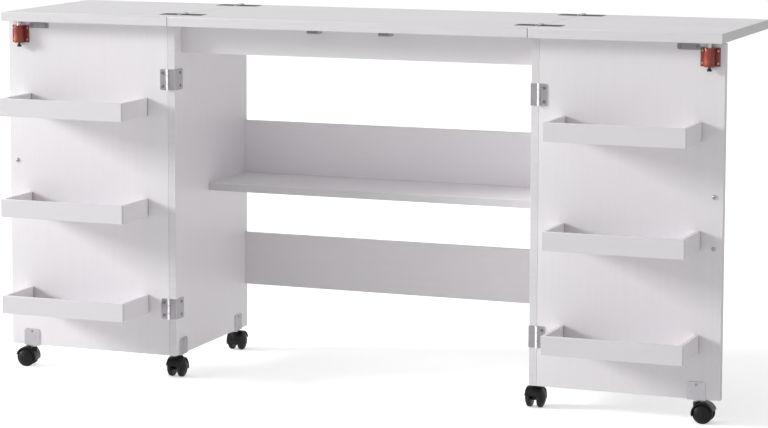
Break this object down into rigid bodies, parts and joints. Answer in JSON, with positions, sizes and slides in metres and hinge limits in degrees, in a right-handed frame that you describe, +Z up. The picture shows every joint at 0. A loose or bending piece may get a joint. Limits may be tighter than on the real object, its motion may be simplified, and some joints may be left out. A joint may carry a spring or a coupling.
{
  "type": "folding sewing cutting table",
  "caption": "Folding sewing and cutting table: white cabinet with shelf, fold-over leaves, swing doors lined with trays, spring bolts and hooded casters.",
  "frame": {"origin": "floor level, under the middle of the open table's box", "axes": "+X to the right along the table, -Y towards the person at the table, +Z up"},
  "size_m": [1.48, 0.476, 0.7317],
  "materials": {
    "white_board": "white melamine on particle board, faint grain, satin",
    "tray_board": "white melamine board, satin",
    "dark_hinge_steel": "dark nickel plated steel",
    "grey_steel": "zinc plated pressed steel",
    "bolt_steel": "bright steel",
    "handle_metal": "satin nickel",
    "red_plastic": "translucent red moulded plastic",
    "black_knob": "black moulded plastic",
    "catch_plastic": "grey moulded plastic",
    "magnet": "dark ferrite with steel pole pieces",
    "caster_hood": "black nylon, semi-gloss",
    "caster_wheel": "black nylon, worn tread"
  },
  "bodies": {
    "cabinet": {"centre_top": "white_board", "left_side_panel": "white_board", "right_side_panel": "white_board", "front_rail": "white_board", "shelf": "white_board", "upper_back_board": "white_board", "lower_back_board": "white_board", "flap_hinge_fixed_leaves": "dark_hinge_steel", "flap_hinge_pins": "dark_hinge_steel", "door_hinge_frame_leaves": "grey_steel", "door_hinge_pins": "grey_steel", "catch_housings": "catch_plastic", "catch_magnets": "magnet", "cabinet_caster_brackets": "grey_steel"},
    "left_leaf": {"left_leaf": "white_board", "left_leaf_hinge_plates": "dark_hinge_steel"},
    "right_leaf": {"right_leaf": "white_board", "right_leaf_hinge_plates": "dark_hinge_steel"},
    "left_door": {"left_door_panel": "white_board", "left_door_hinge_leaves": "grey_steel", "left_upper_tray": "tray_board", "left_middle_tray": "tray_board", "left_lower_tray": "tray_board", "left_handle": "handle_metal", "left_strike_plate": "grey_steel", "left_latch_housing": "red_plastic", "left_spring": "bolt_steel", "left_door_bracket": "grey_steel"},
    "right_door": {"right_door_panel": "white_board", "right_door_hinge_leaves": "grey_steel", "right_upper_tray": "tray_board", "right_middle_tray": "tray_board", "right_lower_tray": "tray_board", "right_handle": "handle_metal", "right_strike_plate": "grey_steel", "right_latch_housing": "red_plastic", "right_spring": "bolt_steel", "right_door_bracket": "grey_steel"},
    "left_bolt": {"left_bolt": "bolt_steel", "left_knob": "black_knob"},
    "right_bolt": {"right_bolt": "bolt_steel", "right_knob": "black_knob"},
    "left_front_caster": {"left_front_caster_hood": "caster_hood"},
    "left_front_wheels": {"left_front_caster_wheels": "caster_wheel"},
    "left_rear_caster": {"left_rear_caster_hood": "caster_hood"},
    "left_rear_wheels": {"left_rear_caster_wheels": "caster_wheel"},
    "right_front_caster": {"right_front_caster_hood": "caster_hood"},
    "right_front_wheels": {"right_front_caster_wheels": "caster_wheel"},
    "right_rear_caster": {"right_rear_caster_hood": "caster_hood"},
    "right_rear_wheels": {"right_rear_caster_wheels": "caster_wheel"},
    "left_door_caster": {"left_door_caster_hood": "caster_hood"},
    "left_door_wheels": {"left_door_caster_wheels": "caster_wheel"},
    "right_door_caster": {"right_door_caster_hood": "caster_hood"},
    "right_door_wheels": {"right_door_caster_wheels": "caster_wheel"}
  },
  "joints": [
    {"name": "left_leaf_fold", "type": "hinge", "parent": "cabinet", "child": "left_leaf", "pos_m": [-0.3705, 0, 0.72875], "axis": [0, -1, 0], "range_deg": [-180, 0]},
    {"name": "right_leaf_fold", "type": "hinge", "parent": "cabinet", "child": "right_leaf", "pos_m": [0.3705, 0, 0.72875], "axis": [0, 1, 0], "range_deg": [-180, 0]},
    {"name": "left_door_swing", "type": "hinge", "parent": "cabinet", "child": "left_door", "pos_m": [-0.384, -0.121, 0], "axis": [0, 0, -1], "range_deg": [-180, 0]},
    {"name": "right_door_swing", "type": "hinge", "parent": "cabinet", "child": "right_door", "pos_m": [0.384, -0.121, 0], "axis": [0, 0, 1], "range_deg": [-180, 0]},
    {"name": "left_bolt_slide", "type": "slide", "parent": "left_door", "child": "left_bolt", "axis": [0, 0, 1], "range_m": [-0.004, 0.0035], "stiffness_N_per_m": 600, "springref_m": 0.008, "deforming": ["left_spring"]},
    {"name": "right_bolt_slide", "type": "slide", "parent": "right_door", "child": "right_bolt", "axis": [0, 0, 1], "range_m": [-0.004, 0.0035], "stiffness_N_per_m": 600, "springref_m": 0.008, "deforming": ["right_spring"]},
    {"name": "left_front_caster_swivel", "type": "hinge", "parent": "cabinet", "child": "left_front_caster", "pos_m": [-0.3765, -0.0845, 0], "axis": [0, 0, 1], "continuous": true},
    {"name": "left_front_wheels_roll", "type": "hinge", "parent": "left_front_caster", "child": "left_front_wheels", "pos_m": [-0.3765, -0.0975, 0.019], "axis": [1, 0, 0], "continuous": true},
    {"name": "left_rear_caster_swivel", "type": "hinge", "parent": "cabinet", "child": "left_rear_caster", "pos_m": [-0.3765, 0.189, 0], "axis": [0, 0, 1], "continuous": true},
    {"name": "left_rear_wheels_roll", "type": "hinge", "parent": "left_rear_caster", "child": "left_rear_wheels", "pos_m": [-0.3765, 0.202, 0.019], "axis": [-1, 0, 0], "continuous": true},
    {"name": "right_front_caster_swivel", "type": "hinge", "parent": "cabinet", "child": "right_front_caster", "pos_m": [0.3765, -0.0845, 0], "axis": [0, 0, 1], "continuous": true},
    {"name": "right_front_wheels_roll", "type": "hinge", "parent": "right_front_caster", "child": "right_front_wheels", "pos_m": [0.3765, -0.0975, 0.019], "axis": [1, 0, 0], "continuous": true},
    {"name": "right_rear_caster_swivel", "type": "hinge", "parent": "cabinet", "child": "right_rear_caster", "pos_m": [0.3765, 0.189, 0], "axis": [0, 0, 1], "continuous": true},
    {"name": "right_rear_wheels_roll", "type": "hinge", "parent": "right_rear_caster", "child": "right_rear_wheels", "pos_m": [0.37986, 0.20156, 0.019], "axis": [-0.9659, 0.2588, 0], "continuous": true},
    {"name": "left_door_caster_swivel", "type": "hinge", "parent": "left_door", "child": "left_door_caster", "pos_m": [-0.694, -0.1105, 0], "axis": [0, 0, 1], "continuous": true},
    {"name": "left_door_wheels_roll", "type": "hinge", "parent": "left_door_caster", "child": "left_door_wheels", "pos_m": [-0.7069, -0.11208, 0.019], "axis": [0.1219, -0.9925, 0], "continuous": true},
    {"name": "right_door_caster_swivel", "type": "hinge", "parent": "right_door", "child": "right_door_caster", "pos_m": [0.694, -0.1105, 0], "axis": [0, 0, 1], "continuous": true},
    {"name": "right_door_wheels_roll", "type": "hinge", "parent": "right_door_caster", "child": "right_door_wheels", "pos_m": [0.707, -0.1105, 0.019], "axis": [0, 1, 0], "continuous": true}
  ]
}
